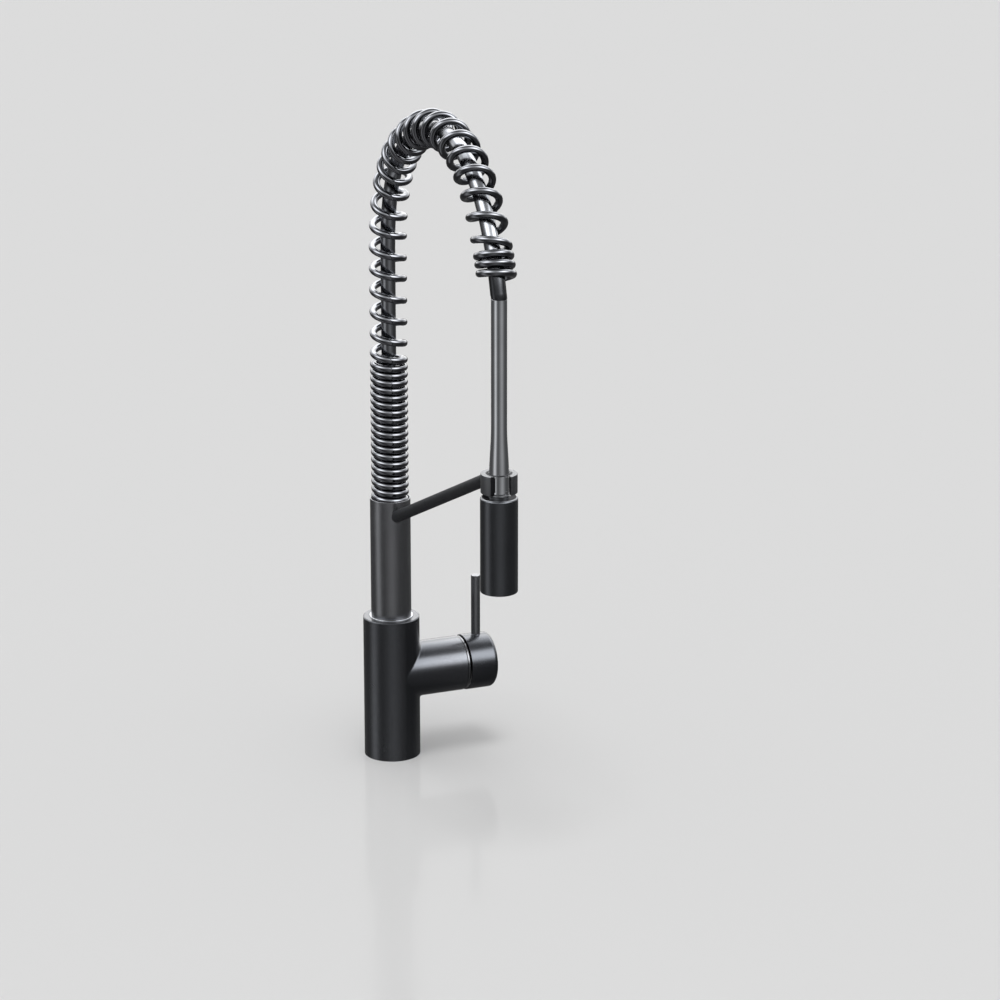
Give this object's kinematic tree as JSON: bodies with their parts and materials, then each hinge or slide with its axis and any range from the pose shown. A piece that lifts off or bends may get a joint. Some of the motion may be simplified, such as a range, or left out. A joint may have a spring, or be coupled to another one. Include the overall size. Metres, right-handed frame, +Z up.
{
  "type": "spring neck kitchen faucet",
  "caption": "Single-lever deck faucet with a tall spring-covered neck, a holder arm and a pull-down hand spray.",
  "frame": {"origin": "centre of the base underside, on the worktop", "axes": "+Z up, the spout reaches towards -Y, the mixing valve and lever are on the +X side"},
  "size_m": [0.119, 0.2876, 0.6042],
  "materials": {
    "satin_gunmetal": "satin dark gun-metal coating on brass",
    "matt_black_metal": "matt dark grey coating",
    "dark_chrome": "polished black chrome",
    "dark_hose": "glossy dark hose jacket",
    "ferrule_black": "black moulded sleeve",
    "brass_raw": "machined brass",
    "steel": "stainless steel",
    "rubber": "black rubber",
    "ceramic_white": "lapped alumina",
    "plastic_white": "moulded plastic",
    "stem_metal": "machined brass",
    "plastic_grey": "dark grey plastic",
    "bright_washer": "polished sliding washer"
  },
  "bodies": {
    "base": {"tee_body": "satin_gunmetal", "base_gasket": "rubber", "cartridge_housing": "plastic_white", "cartridge_port_seals": "rubber", "fixed_ceramic_disc": "ceramic_white", "cartridge_nut": "brass_raw", "valve_trim_ring": "dark_chrome", "lower_swivel_bush": "plastic_white", "upper_swivel_bush": "plastic_white", "swivel_thrust_washer": "bright_washer", "spout_retaining_screw": "steel"},
    "spout": {"swivel_spigot": "brass_raw", "spigot_o_rings": "rubber", "column_tube": "satin_gunmetal", "spring_seat": "brass_raw", "hose_lower_fitting": "brass_raw", "hose_flat_seal": "rubber", "holder_arm": "matt_black_metal", "holder_clip": "matt_black_metal", "clip_liner": "plastic_grey", "supply_hose": "dark_hose", "neck_spring": "dark_chrome"},
    "mixing_carrier": {"stem_carrier": "plastic_white", "stem_pivot_pin": "steel"},
    "ceramic_disc": {"moving_ceramic_disc": "ceramic_white"},
    "handle": {"cartridge_stem": "stem_metal", "handle_cap": "satin_gunmetal", "lever_rod": "satin_gunmetal", "handle_set_screw": "steel", "set_screw_plug": "plastic_grey"},
    "hose_end": {"hose_end_sleeve": "ferrule_black", "hose_swivel_nipple": "brass_raw"},
    "wand": {"wand_neck": "dark_chrome", "spray_shell": "satin_gunmetal", "spray_waterway": "plastic_white", "waterway_o_ring": "rubber", "neck_lock_nut": "brass_raw", "flow_straightener": "plastic_white", "straightener_seal": "rubber", "nozzle_plate": "plastic_grey", "check_spring": "steel"},
    "check_valve": {"check_poppet": "plastic_white"}
  },
  "joints": [
    {"name": "spout_swivel", "type": "hinge", "parent": "base", "child": "spout", "pos_m": [0, 0, 0.13], "axis": [0, 0, 1], "range_deg": [-150, 150]},
    {"name": "lever_temperature", "type": "hinge", "parent": "base", "child": "mixing_carrier", "pos_m": [0.047, 0, 0.0764], "axis": [1, 0, 0], "range_deg": [-45, 45]},
    {"name": "lever_flow", "type": "hinge", "parent": "mixing_carrier", "child": "handle", "pos_m": [0.047, 0, 0.0764], "axis": [0, 1, 0], "range_deg": [0, 25]},
    {"name": "disc_slide", "type": "slide", "parent": "mixing_carrier", "child": "ceramic_disc", "axis": [0, 0, 1], "range_m": [0, 0.0063]},
    {"name": "wand_pull", "type": "slide", "parent": "spout", "child": "hose_end", "axis": [0, 0, -1], "range_m": [0, 0.08], "deforming": ["supply_hose", "neck_spring"]},
    {"name": "wand_spin", "type": "hinge", "parent": "hose_end", "child": "wand", "pos_m": [0, -0.2471, 0.4], "axis": [0, 0, 1], "continuous": true},
    {"name": "check_valve_open", "type": "slide", "parent": "wand", "child": "check_valve", "axis": [0, 0, -1], "range_m": [0, 0.0025], "deforming": ["check_spring"]}
  ],
  "couplings": [
    {"joint": "disc_slide", "follows": "lever_flow", "m_per_rad": 0.0144}
  ]
}
